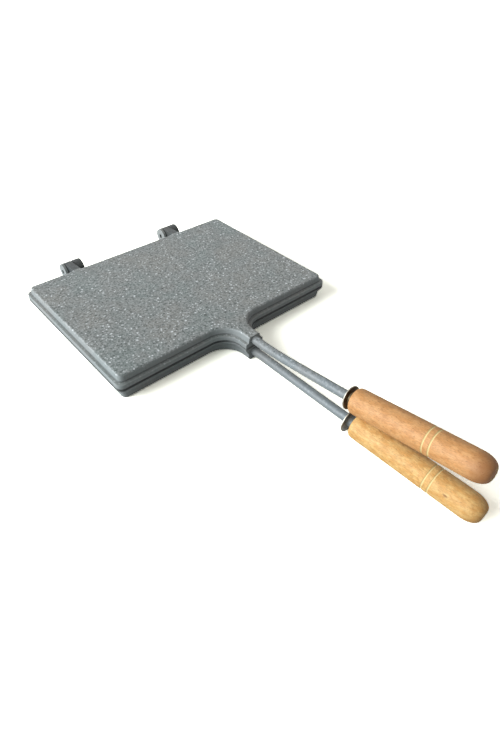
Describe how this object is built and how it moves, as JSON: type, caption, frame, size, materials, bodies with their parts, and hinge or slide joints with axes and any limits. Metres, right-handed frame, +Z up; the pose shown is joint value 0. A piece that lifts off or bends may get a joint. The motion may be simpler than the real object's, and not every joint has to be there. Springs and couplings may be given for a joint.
{
  "type": "pie iron",
  "caption": "Hinged pie iron: coated cast aluminium pans that close face to face, on bent steel rods with turned wooden grips",
  "frame": {"origin": "centre of the lower pan's flat underside", "axes": "+Z up from the lower pan to the upper pan, +Y from the grips to the hinge, +X along the hinge axis"},
  "size_m": [0.248, 0.4678, 0.0582],
  "materials": {
    "coated_cast_aluminium": "cast aluminium under a speckled grey non-stick coating, satin",
    "coated_steel_rod": "speckled coating, satin",
    "pin_steel": "plain steel pin, cut ends",
    "varnished_wood": "turned, thin clear varnish",
    "collar_steel": "polished, slightly tarnished"
  },
  "bodies": {
    "lower": {"lower_pan": "coated_cast_aluminium", "lower_rod": "coated_steel_rod", "lower_grip": "varnished_wood", "lower_collar": "collar_steel", "left_hinge_pin": "pin_steel", "right_hinge_pin": "pin_steel"},
    "upper": {"upper_pan": "coated_cast_aluminium", "upper_rod": "coated_steel_rod", "upper_grip": "varnished_wood", "upper_collar": "collar_steel"}
  },
  "joints": [
    {"name": "lid_hinge", "type": "hinge", "parent": "lower", "child": "upper", "pos_m": [0, 0.11225, 0.014], "axis": [-1, 0, 0], "range_deg": [0, 180]}
  ]
}
